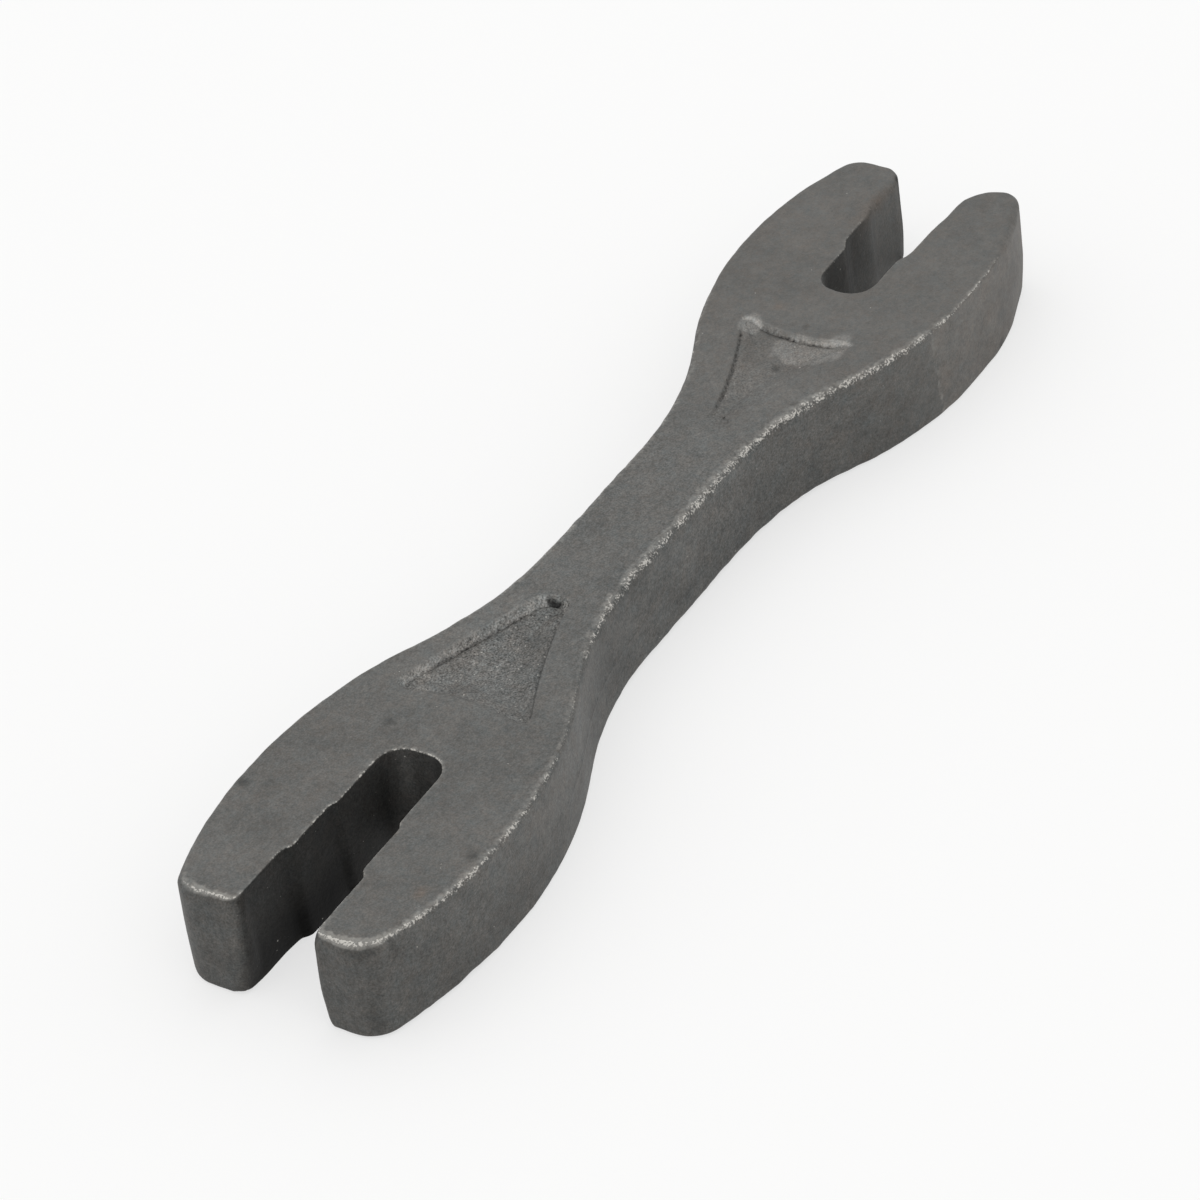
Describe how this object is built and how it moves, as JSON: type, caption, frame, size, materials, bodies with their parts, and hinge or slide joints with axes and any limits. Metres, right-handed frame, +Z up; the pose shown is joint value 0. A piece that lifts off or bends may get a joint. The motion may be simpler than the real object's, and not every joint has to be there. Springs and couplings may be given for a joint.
{
  "type": "spoke wrench",
  "caption": "Double-ended forged steel spoke wrench with a stepped open jaw at each end and a shallow triangular hollow in each head",
  "frame": {"origin": "under the middle of the tool, on the flat face that it rests on", "axes": "+X from the wide jaws to the narrow jaws, +Y across the tool to its left flank, +Z up through its thickness"},
  "size_m": [0.1014, 0.0222, 0.0087],
  "materials": {
    "forged_steel": "dark grey forged steel, matt, worn brighter along the edges"
  },
  "bodies": {
    "root": {"wrench_body": "forged_steel"}
  },
  "joints": []
}
